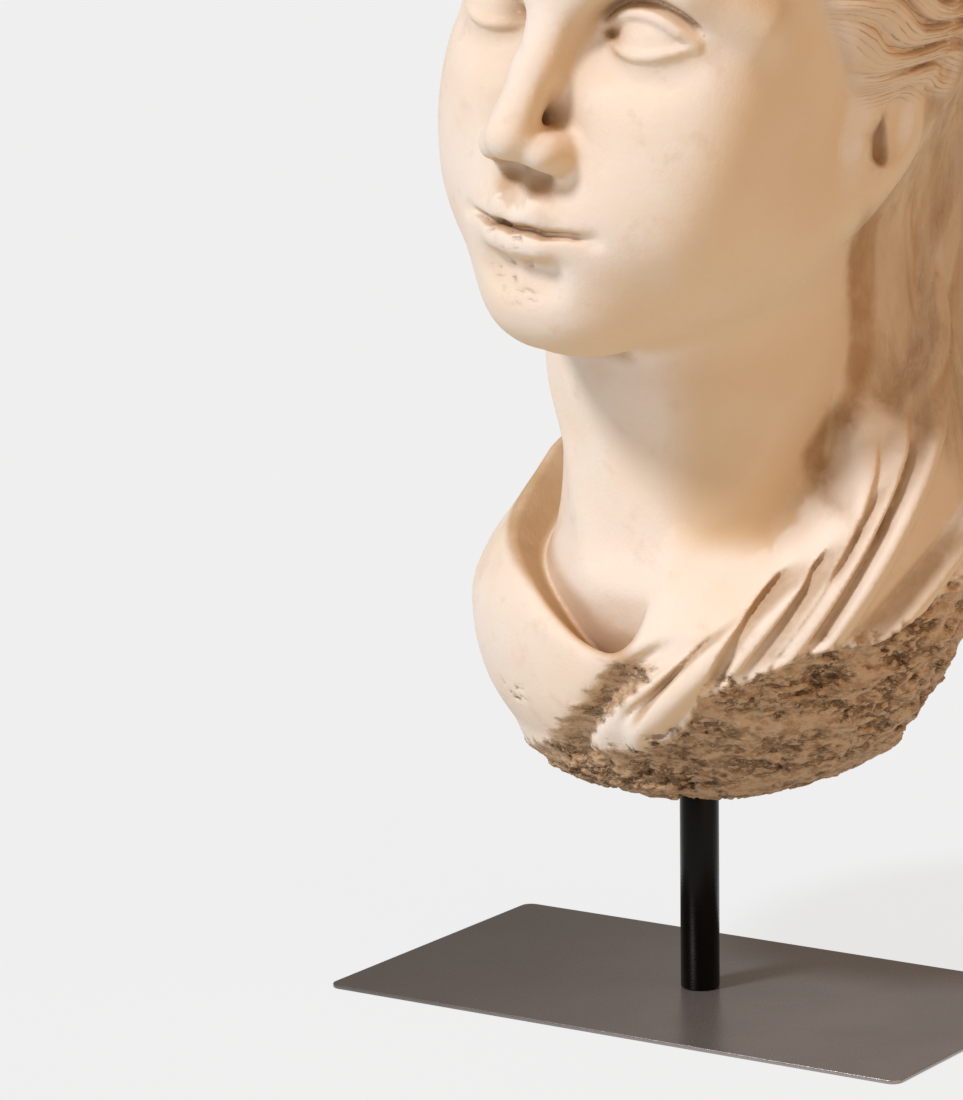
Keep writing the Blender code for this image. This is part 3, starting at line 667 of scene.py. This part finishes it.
def collar_part(points):
    """1 on the slope between the crest of the collar and the neck, for a brown wash with painted shade.
    """
    p, angle = carving_place(points)
    away = ease((neck(p) - 0.4) / 1.6) * ease((84.5 - chest_reach(p)) / 3.0)
    return away * ease((p[:, 2] - 55.0) / 8.0) * ease((8.0 - angle) / 6.0) * ease((angle + 135.0) / 12.0)


def grooved_part(points):
    """Painted shade: 1 in the narrow hollows between the gathered folds, where their shadows fall."""
    p, angle = carving_place(points)
    z = p[:, 2]
    above = ease((z - break_height(angle) - 1.0) / 4.0)
    return np.clip(fold_grooves(angle, z) / 1.6, 0.0, 1.0) * above * ease((chest_reach(p) - 70.0) / 10.0)


def lee_part(mesh):
    """Painted shade: 1 under the jaw, where its shadow falls, and on the sides turned away from the
    light, 0 on the lit front.
    """
    away = ease((0.66 - normals_of(mesh) @ np.array(PAINTED_LIGHT_FROM)) / 0.85)
    p, angle = carving_place(points_of(mesh))
    z = p[:, 2]
    under_jaw = ease((angle - 2.0) / 26.0) * ease((z - 92.0) / 18.0) * ease((215.0 - z) / 25.0)
    return np.maximum(away, 0.9 * under_jaw * (neck(p) < 6.0) * (angle < 80.0))


def hollow_part(mesh, reach):
    """How far each point lies in a hollow: near 1 in a groove, 0 on open surface."""
    out = points_of(mesh) + normals_of(mesh) * reach
    return np.clip(1.0 - bust(out) / reach, 0.0, 1.0)


# Which way the painted light comes from: the sides turned away from it get painted shade
PAINTED_LIGHT_FROM = (-0.38, -0.80, 0.46)

# What the relief and the finish read, each with the function that gives it
RELIEF_PARTS = {"broken": broken_part, "pocked": pocked_part, "streaked": streaked_part}
FINISH_PARTS = {"haired": hair_part, "combed": combed, "collar": collar_part, "grooved": grooved_part,
                "recess": recess_part, "canal": canal_part}

# How far off the surface, in metres, each kind of hollow is felt for; the broad shelter carries painted
# shade as well as wash
HOLLOWS = {"shelter": 0.030, "hollow": 0.010, "groove": 0.003}

# Grain of the break: flattened layers, and how many pits and gashes to a metre
LAYERS = (1.0, 1.0, 1.9)
PIT_SCALE = 190.0
GASH_SCALE = 115.0


class Nodes:
    """Lays out a node tree."""

    def __init__(self, tree):
        self.tree = tree

    def add(self, kind, inputs=None, **settings):
        node = self.tree.nodes.new(kind)
        for name, value in settings.items():
            setattr(node, name, value)
        for name, value in (inputs or {}).items():
            socket = node.inputs[name]
            if isinstance(value, bpy.types.NodeSocket):
                self.tree.links.new(value, socket)
            else:
                socket.default_value = value
        return node

    def maths(self, operation, a, b=0.0):
        return self.add("ShaderNodeMath", {0: a, 1: b}, operation=operation).outputs[0]

    def ramp(self, value, low, high, to_low=0.0, to_high=1.0):
        node = self.add("ShaderNodeMapRange", {"Value": value, "From Min": low, "From Max": high,
                                               "To Min": to_low, "To Max": to_high},
                        interpolation_type="SMOOTHSTEP")
        return node.outputs["Result"]

    def stretch(self, place, by):
        return self.add("ShaderNodeVectorMath", {0: place, 1: by}, operation="MULTIPLY").outputs[0]

    def noise(self, place, scale, detail=3.0, rough=0.5):
        node = self.add("ShaderNodeTexNoise", {"Vector": place, "Scale": scale, "Detail": detail,
                                               "Roughness": rough})
        return node.outputs[0]

    def tint(self, share, a, b):
        node = self.add("ShaderNodeMix", {"Factor": share}, data_type="RGBA")
        for socket, value in ((node.inputs[6], a), (node.inputs[7], b)):
            if isinstance(value, bpy.types.NodeSocket):
                self.tree.links.new(value, socket)
            else:
                socket.default_value = (*value, 1.0)
        return node.outputs[2]


def relief_tree(finish):
    """Crumbling break, streaked veil and slight unevenness, pushed along the surface's own direction."""
    tree = bpy.data.node_groups.new("cast relief", "GeometryNodeTree")
    tree.interface.new_socket("Geometry", in_out="INPUT", socket_type="NodeSocketGeometry")
    sizes = {"Crumb depth": 0.0024, "Crumb scale": 62.0, "Pit depth": 0.0026, "Pit scale": PIT_SCALE,
             "Gash depth": 0.0019, "Gash scale": GASH_SCALE, "Streak depth": 0.0009,
             "Unevenness": 0.0005}
    for name, value in sizes.items():
        socket = tree.interface.new_socket(name, in_out="INPUT", socket_type="NodeSocketFloat")
        socket.default_value = value
    tree.interface.new_socket("Geometry", in_out="OUTPUT", socket_type="NodeSocketGeometry")
    n = Nodes(tree)
    size = n.add("NodeGroupInput").outputs
    place = n.add("GeometryNodeInputPosition").outputs[0]
    outward = n.add("GeometryNodeInputNormal").outputs[0]
    broken, streaked, pocked = (
        n.add("GeometryNodeInputNamedAttribute", {"Name": name}, data_type="FLOAT").outputs[0]
        for name in ("broken", "streaked", "pocked"))
    flat = n.stretch(place, LAYERS)
    crumb = n.maths("SUBTRACT", n.noise(flat, size["Crumb scale"], 6.0, 0.68), 0.5)
    crumb = n.maths("MULTIPLY", n.maths("MULTIPLY", crumb, 2.0), size["Crumb depth"])
    pit = n.maths("MULTIPLY", pitted(n, flat, size["Pit scale"]), size["Pit depth"])
    gash = n.maths("MULTIPLY", gashed(n, place, size["Gash scale"]), size["Gash depth"])
    rough = n.maths("SUBTRACT", n.maths("MULTIPLY", crumb, broken), n.maths("MULTIPLY", pit, pocked))
    rough = n.maths("SUBTRACT", rough, n.maths("MULTIPLY", gash, broken))
    streak = n.maths("SUBTRACT", n.noise(n.stretch(place, (230.0, 230.0, 16.0)), 1.0, 4.0, 0.6), 0.5)
    streak = n.maths("MULTIPLY", n.maths("MULTIPLY", streak, streaked), size["Streak depth"])
    streak = n.maths("MULTIPLY", streak, 2.0)
    slow = n.maths("SUBTRACT", n.noise(place, 38.0, 3.0, 0.5), 0.5)
    slow = n.maths("MULTIPLY", slow, size["Unevenness"])
    push = n.maths("ADD", n.maths("ADD", rough, streak), slow)
    offset = n.add("ShaderNodeVectorMath", {0: outward, "Scale": push}, operation="SCALE").outputs[0]
    moved = n.add("GeometryNodeSetPosition", {"Geometry": size["Geometry"], "Offset": offset})
    real = n.add("GeometryNodeRealizeInstances", {"Geometry": moved.outputs[0]})
    dressed = n.add("GeometryNodeSetMaterial", {"Geometry": real.outputs[0], "Material": finish})
    out = n.add("NodeGroupOutput")
    tree.links.new(dressed.outputs[0], out.inputs[0])
    return tree


def pitted(n, place, scale):
    """1 in scattered small ragged pits."""
    bend = n.noise(place, n.maths("MULTIPLY", scale, 0.6), 2.0, 0.5)
    worn = n.ramp(n.noise(place, scale, 2.0, 0.5), 0.53, 0.62)
    where = n.ramp(n.noise(place, n.maths("MULTIPLY", scale, 0.22), 2.0, 0.5), 0.42, 0.60)
    return n.maths("MULTIPLY", n.maths("MULTIPLY", worn, where), n.ramp(bend, 0.35, 0.55))


def gashed(n, place, scale):
    """1 in the ragged, drawn-out gashes of the break."""
    flat = n.stretch(place, (1.0, 1.0, 2.1))
    ridge = n.maths("ABSOLUTE", n.maths("SUBTRACT", n.noise(flat, scale, 4.0, 0.6), 0.5))
    where = n.ramp(n.noise(flat, n.maths("MULTIPLY", scale, 0.5), 3.0, 0.6), 0.46, 0.60)
    return n.maths("MULTIPLY", n.ramp(ridge, 0.015, 0.070, 1.0, 0.0), where)


def new_finish(name):
    finish = bpy.data.materials.new(name)
    finish.use_nodes = True
    return finish, Nodes(finish.node_tree), finish.node_tree.nodes["Principled BSDF"]


def resin_finish():
    """Cream cast stone look with a brown wash in the hollows, on the break and down the veil, and
    painted shade on the sides away from the light, under the jaw, inside the collar, between the folds,
    beside the neck and in the ears.
    """
    finish, n, surface = new_finish("cast resin")
    place = n.add("ShaderNodeTexCoord").outputs["Object"]
    (broken, pocked, streaked, hollow, groove, shelter, haired, strand, collar, lee, grooved, recess,
     canal) = (n.add("ShaderNodeAttribute", attribute_name=name).outputs["Fac"]
               for name in ("broken", "pocked", "streaked", "hollow", "groove", "shelter", "haired",
                            "combed", "collar", "lee", "grooved", "recess", "canal"))
    cloud = n.noise(place, 16.0, 5.0, 0.6)
    mottle = n.noise(place, 75.0, 4.0, 0.6)
    colour = n.tint(n.ramp(cloud, 0.38, 0.66), CREAM, CREAM_WARM)
    colour = n.tint(n.ramp(mottle, 0.55, 0.75, 0.0, 0.22), colour, WASH_AND_SHADE)
    # Brown wash with painted shade in broad sheltered places, mixed with a random cloud
    wash = n.maths("ADD", n.maths("MULTIPLY", shelter, 0.75), n.maths("MULTIPLY", cloud, 0.5))
    colour = n.tint(n.ramp(wash, 0.42, 1.0, 0.0, 0.62), colour, WASH_AND_SHADE)
    # Painted shade on the sides turned away from the light and under the jaw
    colour = n.tint(n.ramp(lee, 0.0, 1.0, 0.0, 0.90), colour, LEE_SHADE)
    colour = n.tint(n.ramp(hollow, 0.25, 0.95, 0.0, 0.60), colour, WASH_AND_SHADE)
    colour = n.tint(n.ramp(groove, 0.45, 1.0, 0.0, 0.45), colour, DEEP_WASH_AND_SHADE)
    # Painted shade in the narrow hollows between the gathered folds
    grooved = n.maths("MULTIPLY", grooved, n.ramp(mottle, 0.30, 0.65, 0.55, 0.80))
    colour = n.tint(grooved, colour, GROOVE_SHADE)
    # Brown wash and painted shade on the slope inside the collar
    collar = n.maths("MULTIPLY", collar, n.ramp(mottle, 0.30, 0.65, 0.70, 1.0))
    colour = n.tint(collar, colour, COLLAR_WASH_AND_SHADE)
    patch = n.ramp(n.noise(place, 55.0, 4.0, 0.6), 0.35, 0.60, 0.55, 1.0)
    wander = n.maths("MULTIPLY", n.noise(place, 60.0, 2.0), 6.0)
    across = n.maths("ADD", n.maths("MULTIPLY", strand, 190.0), wander)
    hair_line = n.maths("ABSOLUTE", n.maths("SINE", across))
    hair_dark = n.maths("MULTIPLY", n.ramp(hair_line, 0.0, 0.50, 0.95, 0.0), haired)
    broken_up = n.ramp(n.noise(place, 130.0, 3.0), 0.40, 0.60, 0.15, 1.0)
    hair_dark = n.maths("MULTIPLY", hair_dark, broken_up)
    colour = n.tint(n.maths("MULTIPLY", haired, n.ramp(mottle, 0.35, 0.65, 0.30, 0.60)), colour, HAIR)
    colour = n.tint(n.maths("MULTIPLY", hair_dark, 0.75), colour, DEEP_WASH_AND_SHADE)
    # Painted shade in the hollow of each ear
    colour = n.tint(n.maths("MULTIPLY", canal, 0.8), colour, DEEP_WASH_AND_SHADE)
    drip = n.ramp(n.noise(n.stretch(place, (150.0, 150.0, 9.0)), 1.0, 5.0, 0.62), 0.38, 0.64)
    blotch = n.ramp(n.noise(n.stretch(place, (40.0, 40.0, 14.0)), 1.0, 4.0, 0.6), 0.35, 0.65)
    veil_tint = n.tint(n.maths("MULTIPLY", n.maths("ADD", drip, blotch), 0.5), VEIL_LIGHT, VEIL_DARK)
    colour = n.tint(n.maths("MULTIPLY", streaked, 0.82), colour, veil_tint)
    # Painted shade in the recess between the neck and the cloth beside it, broken into patches
    colour = n.tint(n.maths("MULTIPLY", recess, patch), colour, RECESS_SHADE)
    flat = n.stretch(place, LAYERS)
    crumb = n.noise(flat, 170.0, 5.0, 0.7)
    break_tint = n.tint(n.ramp(crumb, 0.38, 0.56), BREAK_DARK, BREAK_LIGHT)
    break_tint = n.tint(n.ramp(cloud, 0.45, 0.62, 0.0, 0.5), break_tint, BREAK_WARM)
    gash = gashed(n, place, GASH_SCALE)
    break_tint = n.tint(n.maths("MULTIPLY", gash, 0.85), break_tint, GASH)
    colour = n.tint(n.maths("MULTIPLY", broken, 0.94), colour, break_tint)
    pit = n.maths("MULTIPLY", pitted(n, flat, PIT_SCALE), pocked)
    colour = n.tint(n.maths("MULTIPLY", pit, 0.9), colour, PIT)
    n.tree.links.new(colour, surface.inputs["Base Color"])
    rough = n.ramp(n.noise(place, 90.0, 3.0), 0.3, 0.7, 0.58, 0.76)
    n.tree.links.new(rough, surface.inputs["Roughness"])
    surface.inputs["Specular IOR Level"].default_value = 0.35
    coarse = n.maths("MULTIPLY", n.noise(place, 320.0, 3.0), 0.8)
    grain = n.maths("ADD", n.noise(place, 900.0, 3.0, 0.6), coarse)
    grain = n.maths("ADD", grain, n.maths("MULTIPLY", n.maths("MULTIPLY", hair_line, haired), 2.2))
    grain = n.maths("SUBTRACT", grain, n.maths("MULTIPLY", n.maths("MULTIPLY", drip, streaked), 2.6))
    bump = n.add("ShaderNodeBump", {"Strength": 0.25, "Distance": 0.0006, "Height": grain})
    chips = n.maths("SUBTRACT", n.noise(flat, 260.0, 5.0, 0.7), n.maths("MULTIPLY", gash, 0.8))
    chips = n.maths("MULTIPLY", chips, broken)
    chipped = n.add("ShaderNodeBump", {"Strength": 0.8, "Distance": 0.0022, "Height": chips,
                                       "Normal": bump.outputs[0]})
    n.tree.links.new(chipped.outputs[0], surface.inputs["Normal"])
    return finish


def steel_finish(name, colour, rough, metal):
    """Dark satin steel with a fine grain, with a painted darker reflection towards the left end of the
    plate.
    """
    finish, n, surface = new_finish(name)
    place = n.add("ShaderNodeTexCoord").outputs["Object"]
    speck = n.noise(place, 1500.0, 3.0, 0.6)
    paler = tuple(c * 1.12 for c in colour)
    darker = tuple(c * 0.35 for c in colour)
    shade = n.tint(n.ramp(n.noise(place, 22.0, 3.0), 0.3, 0.7), colour, paler)
    along = n.add("ShaderNodeSeparateXYZ", {0: place}).outputs[0]
    # Painted reflection: darker towards the left end of the plate, where it would reflect a darker room
    shade = n.tint(n.ramp(along, -0.125, 0.08, 0.75, 0.0), shade, darker)
    n.tree.links.new(shade, surface.inputs["Base Color"])
    surface.inputs["Metallic"].default_value = metal
    n.tree.links.new(n.ramp(speck, 0.3, 0.7, rough - 0.03, rough + 0.04), surface.inputs["Roughness"])
    bump = n.add("ShaderNodeBump", {"Strength": 0.15, "Distance": 0.0002, "Height": speck})
    n.tree.links.new(bump.outputs[0], surface.inputs["Normal"])
    return finish


# Colours of the finishes, from the bare cast to the darkest wash, with the colours of the painted shade
# among them
CREAM = (0.80, 0.69, 0.59)
CREAM_WARM = (0.79, 0.64, 0.50)
LEE_SHADE = (0.66, 0.455, 0.26)
WASH_AND_SHADE = (0.49, 0.31, 0.17)
GROOVE_SHADE = (0.42, 0.27, 0.145)
RECESS_SHADE = (0.40, 0.225, 0.10)
DEEP_WASH_AND_SHADE = (0.29, 0.165, 0.080)
COLLAR_WASH_AND_SHADE = (0.50, 0.32, 0.17)
HAIR = (0.60, 0.41, 0.25)
VEIL_LIGHT = (0.58, 0.40, 0.235)
VEIL_DARK = (0.33, 0.19, 0.085)
BREAK_LIGHT = (0.56, 0.36, 0.20)
BREAK_WARM = (0.62, 0.37, 0.18)
BREAK_DARK = (0.34, 0.19, 0.085)
GASH = (0.25, 0.135, 0.055)
PIT = (0.10, 0.050, 0.020)
ROD_STEEL = (0.008, 0.007, 0.006)
PLATE_STEEL = (0.30, 0.272, 0.265)


def add(name, mesh, finish=None):
    thing = bpy.data.objects.new(name, mesh)
    bpy.context.scene.collection.objects.link(thing)
    if finish:
        mesh.materials.clear()
        mesh.materials.append(finish)
    return thing


def plain_copy(thing):
    """The object's mesh as its modifiers leave it, with the modifiers taken off."""
    graph = bpy.context.evaluated_depsgraph_get()
    mesh = bpy.data.meshes.new_from_object(thing.evaluated_get(graph), preserve_all_data_layers=True,
                                           depsgraph=graph)
    thing.modifiers.clear()
    thing.data = mesh
    return mesh


def make_bust(finish):
    """Carved skin with its relief, thinned, bored for the rod and marked for the finish."""
    step = GRID * UNIT
    low = BUST_LOW - 3 * step
    high = BUST_HIGH + 3 * step
    points, faces = skin(settle_doubts(sample(bust, low, high, step)))
    points = settle(bust, low + points * step, step / 4)
    mesh = bpy.data.meshes.new("bust carving")
    mesh.from_pydata(points.tolist(), [], faces.tolist())
    mesh.polygons.foreach_set("use_smooth", np.ones(len(mesh.polygons), dtype=bool))
    for name, part in RELIEF_PARTS.items():
        values(mesh, name, part(points))
    thing = add("carved_bust", mesh, finish)
    relief = thing.modifiers.new("cast relief", "NODES")
    relief.node_group = relief_tree(finish)
    fewer = thing.modifiers.new("fewer", "DECIMATE")
    fewer.ratio = BUST_TRIANGLES / (2.0 * len(faces))
    socket = turned_bar("socket", ROD_RADIUS + CLEARANCE, BUST_LIFT - SOCKET_BELOW,
                        ROD_HIGH[2] + CLEARANCE)
    bored = thing.modifiers.new("socket", "BOOLEAN")
    bored.operation = "DIFFERENCE"
    bored.solver = "EXACT"
    bored.object = socket
    mesh = plain_copy(thing)
    bpy.data.objects.remove(socket)
    points = np.clip(points_of(mesh), BUST_LOW, BUST_HIGH)
    mesh.vertices.foreach_set("co", points.ravel())
    mesh.update()
    for name, part in (RELIEF_PARTS | FINISH_PARTS).items():
        values(mesh, name, part(points))
    values(mesh, "lee", lee_part(mesh))
    for name, reach in HOLLOWS.items():
        values(mesh, name, hollow_part(mesh, reach))
    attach(thing, "root")
    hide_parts("bust")


def stacked(name, title, rings, finish):
    """Closed piece through a stack of rings of points, from the lowest to the highest."""
    form = bmesh.new()
    made = [[form.verts.new(place) for place in ring] for ring in rings]
    for lower, upper in zip(made[:-1], made[1:]):
        for i in range(len(lower)):
            j = (i + 1) % len(lower)
            form.faces.new((lower[i], lower[j], upper[j], upper[i])).smooth = True
    form.faces.new(made[0][::-1])
    form.faces.new(made[-1])
    mesh = bpy.data.meshes.new(title)
    form.to_mesh(mesh)
    form.free()
    return add(name, mesh, finish)


def turned_bar(name, radius, low, high, finish=None, edge=0.0):
    """Upright round bar, with a small chamfer at both ends if it has an edge."""
    levels = [(low, radius - edge), (low + edge, radius), (high - edge, radius), (high, radius - edge)]
    if not edge:
        levels = levels[1:3]
    turns = [2 * pi * i / ROD_SIDES for i in range(ROD_SIDES)]
    return stacked(name, name, [[(r * cos(t), r * sin(t), z) for t in turns] for z, r in levels], finish)


def make_plate(finish):
    """Thin plate with rounded corners and a slightly eased edge."""
    low, high = PLATE_LOW[2], PLATE_HIGH[2]
    corner_x, corner_y = PLATE_HIGH[:2] - PLATE_CORNER
    rings = []
    for z, inset in ((low, PLATE_EASE), (low + PLATE_EASE, 0.0),
                     (high - PLATE_EASE, 0.0), (high, PLATE_EASE)):
        reach = PLATE_CORNER - inset
        ring = []
        for corner, (side_x, side_y) in enumerate(((1, 1), (-1, 1), (-1, -1), (1, -1))):
            for i in range(CORNER_STEPS + 1):
                turn = pi / 2 * (corner + i / CORNER_STEPS)
                ring.append((side_x * corner_x + reach * cos(turn),
                             side_y * corner_y + reach * sin(turn), z))
        rings.append(ring)
    return stacked("flat_plate", "plate", rings, finish)


def soft_light(name, strength, colour, way, spread):
    """Even light from one way; the spread, in degrees, softens its shadows."""
    light = bpy.data.lights.new(name, "SUN")
    light.energy = strength
    light.angle = radians(spread)
    light.color = colour
    thing = bpy.data.objects.new(name, light)
    thing.rotation_euler = Vector(way).to_track_quat("Z", "Y").to_euler()
    bpy.context.scene.collection.objects.link(thing)


def make_stage():
    """Pale floor out to the horizon, a soft light from the left and a warm glow from the right."""
    finish, _, surface = new_finish("pale floor")
    surface.inputs["Base Color"].default_value = FLOOR
    surface.inputs["Roughness"].default_value = 1.0
    surface.inputs["Specular IOR Level"].default_value = 0.0
    surface.inputs["Emission Color"].default_value = FLOOR_GLOW
    surface.inputs["Emission Strength"].default_value = 1.0
    floor = bpy.data.meshes.new("floor")
    r = FLOOR_REACH
    floor.from_pydata([(-r, -r, 0), (r, -r, 0), (r, r, 0), (-r, r, 0)], [], [(0, 1, 2, 3)])
    thing = add("floor", floor, finish)
    world = bpy.data.worlds.new("room")
    world.use_nodes = True
    back = world.node_tree.nodes["Background"]
    back.inputs["Color"].default_value = ROOM
    back.inputs["Strength"].default_value = 1.0
    bpy.context.scene.world = world
    soft_light("key", KEY, KEY_COLOUR, KEY_FROM, KEY_SPREAD)
    soft_light("warm glow", GLOW, GLOW_COLOUR, GLOW_FROM, GLOW_SPREAD)
    bpy.context.scene.view_settings.view_transform = "Standard"


FLOOR_REACH = 30
FLOOR = (0.12, 0.12, 0.12, 1.0)
FLOOR_GLOW = (0.755, 0.76, 0.765, 1.0)
ROOM = (0.25, 0.215, 0.185, 1.0)
KEY = 2.75
KEY_COLOUR = (0.94, 0.95, 1.0)
KEY_FROM = (-0.270, -0.667, 0.695)
KEY_SPREAD = 11.0
GLOW = 0.95
GLOW_COLOUR = (1.0, 0.55, 0.20)
GLOW_FROM = (0.87, -0.25, 0.42)
GLOW_SPREAD = 70.0


def make_camera():
    """Camera at the photo's place, fitted to the corners of the plate and to the rod."""
    lens = bpy.data.cameras.new("camera")
    lens.lens = CAMERA_LENS
    lens.sensor_width = CAMERA_SENSOR
    camera = bpy.data.objects.new("camera", lens)
    place = Vector(CAMERA_AT)
    aim = (Vector(CAMERA_AIM) - place).to_track_quat("-Z", "Y").to_matrix().to_4x4()
    camera.matrix_world = Matrix.Translation(place) @ aim @ Matrix.Rotation(CAMERA_ROLL, 4, "Z")
    bpy.context.scene.collection.objects.link(camera)
    bpy.context.scene.camera = camera


CAMERA_AT = (0.9612, -1.5868, 0.5303)
CAMERA_AIM = (-0.0680, -0.0454, 0.1733)
CAMERA_ROLL = radians(-0.773)
CAMERA_LENS = 163.6
CAMERA_SENSOR = 36.0


def main():
    make_bust(resin_finish())
    rod = turned_bar("round_rod", ROD_RADIUS, ROD_LOW[2], ROD_HIGH[2],
                     steel_finish("rod steel", ROD_STEEL, 0.28, 0.85), ROD_CHAMFER)
    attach(rod, "root")
    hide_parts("rod")
    plate = make_plate(steel_finish("plate steel", PLATE_STEEL, 0.27, 0.6))
    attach(plate, "root")
    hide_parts("base_plate")
    make_stage()
    make_camera()


main()
